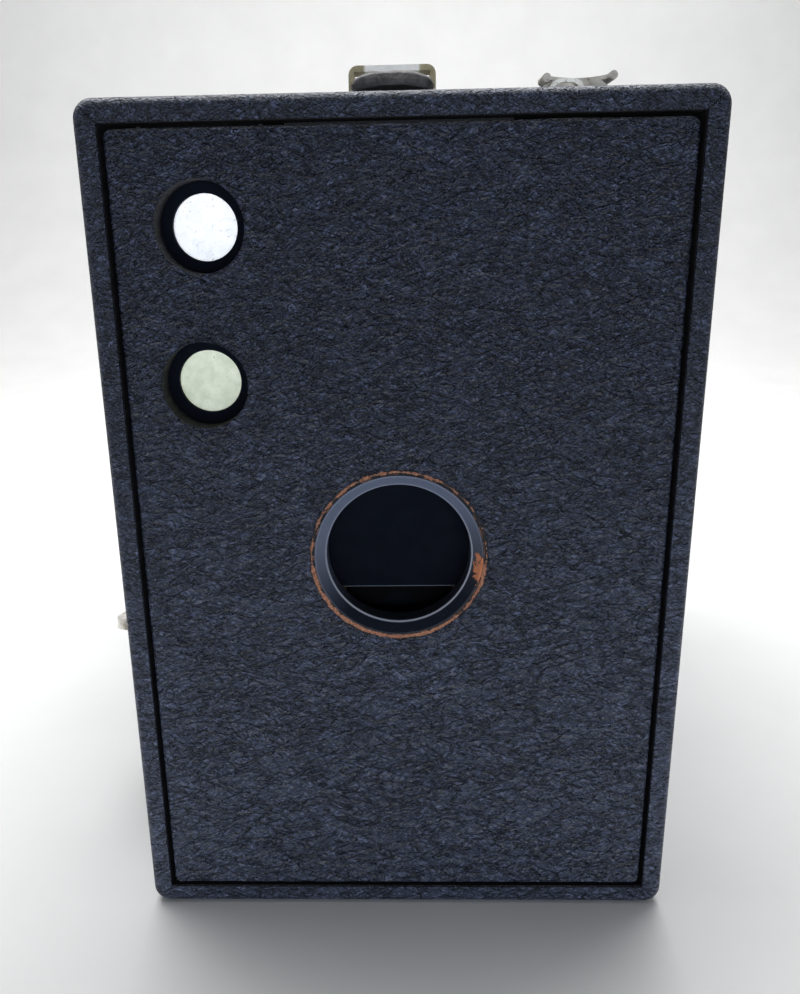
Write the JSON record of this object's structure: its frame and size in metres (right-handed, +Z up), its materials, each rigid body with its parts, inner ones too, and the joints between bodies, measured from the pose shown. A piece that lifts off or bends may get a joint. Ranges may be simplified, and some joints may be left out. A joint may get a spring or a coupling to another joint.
{
  "type": "box camera",
  "caption": "Wooden box camera for roll film with a leatherette covering, rotary shutter, two reflecting finders, winding key, hinged back and a strap handle.",
  "frame": {"origin": "centre of the base's underside, where the camera stands, halfway between the front board's face and the back's face", "axes": "+X to the right seen from the front, +Y from the lens towards the hinged back, +Z up"},
  "size_m": [0.1035, 0.1524, 0.1421],
  "materials": {
    "case_wood": "oiled softwood, stained dark inside",
    "black_wood": "blackened wood",
    "covering": "black grained imitation leather",
    "strap_leather": "worn dark leather",
    "nickel": "worn nickel plate",
    "brass": "tarnished brass",
    "black_metal": "gloss black japan, chipped",
    "dull_metal": "matt black paint",
    "clear_glass": "polished glass",
    "ground_glass": "ground on one side",
    "finder_mirror": "silvered, dulled",
    "red_glass": "deep red",
    "spring_steel": "blued spring steel"
  },
  "bodies": {
    "case": {"carrier_sides": "case_wood", "carrier_front": "case_wood", "carrier_runners": "case_wood", "case_top": "black_wood", "case_bottom": "black_wood", "case_left": "black_wood", "case_right": "black_wood", "front_board": "black_wood", "front_cleats": "black_wood", "film_rails": "black_wood", "case_covering": "covering", "front_covering": "covering", "handle_brackets": "nickel", "bracket_rivets": "nickel", "slide_escutcheon": "nickel", "lever_escutcheon": "nickel", "trim_pins": "nickel", "key_bush": "nickel", "hinge_case_leaf": "nickel", "flush_screws": "nickel", "finder_frames": "nickel", "catch_keeper": "nickel", "tripod_sockets": "nickel", "spool_pins": "nickel", "lens_cell": "brass", "lens_ring": "brass", "plate_spacers": "brass", "blade_pivot": "brass", "lever_pivot": "brass", "slide_rails": "brass", "lens_bezel": "black_metal", "shutter_plate": "dull_metal", "plate_screws": "dull_metal", "lens_plate": "dull_metal", "finder_boxes": "dull_metal", "light_cone": "dull_metal", "taking_lens": "clear_glass", "finder_lenses": "clear_glass", "finder_glasses": "ground_glass", "finder_mirrors": "finder_mirror", "shutter_spring": "spring_steel", "hinge_pin": "spring_steel"},
    "shutter_blade": {"shutter_blade": "dull_metal"},
    "shutter_lever": {"shutter_lever": "nickel"},
    "time_slide": {"time_slide": "nickel"},
    "stop_slide": {"stop_slide": "nickel"},
    "key_collar": {"key_collar": "brass"},
    "winding_key": {"winding_key": "nickel"},
    "take_up_spool": {"take_up_spool": "case_wood"},
    "lower_roller": {"lower_roller": "nickel"},
    "upper_roller": {"upper_roller": "nickel"},
    "door": {"door_board": "black_wood", "door_covering": "covering", "door_panel": "black_wood", "red_window": "red_glass", "window_ring": "nickel", "hinge_door_leaf": "nickel", "door_screws": "nickel", "catch_spring": "spring_steel"},
    "handle": {"handle_strap": "strap_leather"}
  },
  "joints": [
    {"name": "shutter_press", "type": "hinge", "parent": "case", "child": "shutter_lever", "pos_m": [-0.029, -0.0643, 0.05], "axis": [0, -1, 0], "range_deg": [0, 17], "deforming": ["shutter_spring"]},
    {"name": "blade_swing", "type": "hinge", "parent": "case", "child": "shutter_blade", "pos_m": [-0.0195, -0.06865, 0.062], "axis": [0, 1, 0], "range_deg": [0, 68]},
    {"name": "time_pull", "type": "slide", "parent": "case", "child": "time_slide", "axis": [0, 0, 1], "range_m": [0, 0.006]},
    {"name": "stop_pull", "type": "slide", "parent": "case", "child": "stop_slide", "axis": [0, 0, 1], "range_m": [0, 0.024]},
    {"name": "key_pull", "type": "slide", "parent": "case", "child": "key_collar", "axis": [-1, 0, 0], "range_m": [0, 0.008]},
    {"name": "key_turn", "type": "hinge", "parent": "key_collar", "child": "winding_key", "pos_m": [-0.0445, -0.0325, 0.036], "axis": [-1, 0, 0], "continuous": true},
    {"name": "spool_turn", "type": "hinge", "parent": "case", "child": "take_up_spool", "pos_m": [0, -0.0325, 0.036], "axis": [-1, 0, 0], "continuous": true},
    {"name": "lower_roller_turn", "type": "hinge", "parent": "case", "child": "lower_roller", "pos_m": [0, 0.0626, 0.0075], "axis": [1, 0, 0], "continuous": true},
    {"name": "upper_roller_turn", "type": "hinge", "parent": "case", "child": "upper_roller", "pos_m": [0, 0.0626, 0.1223], "axis": [1, 0, 0], "continuous": true},
    {"name": "door_swing", "type": "hinge", "parent": "case", "child": "door", "pos_m": [0, 0.0764, 0.00155], "axis": [-1, 0, 0], "range_deg": [0, 90], "deforming": ["catch_spring"]},
    {"name": "handle_lift", "type": "slide", "parent": "case", "child": "handle", "axis": [0, 0, 1], "range_m": [0, 0.003]}
  ],
  "couplings": [
    {"joint": "blade_swing", "follows": "shutter_press", "ratio": 4},
    {"joint": "spool_turn", "follows": "key_turn", "ratio": 1}
  ]
}
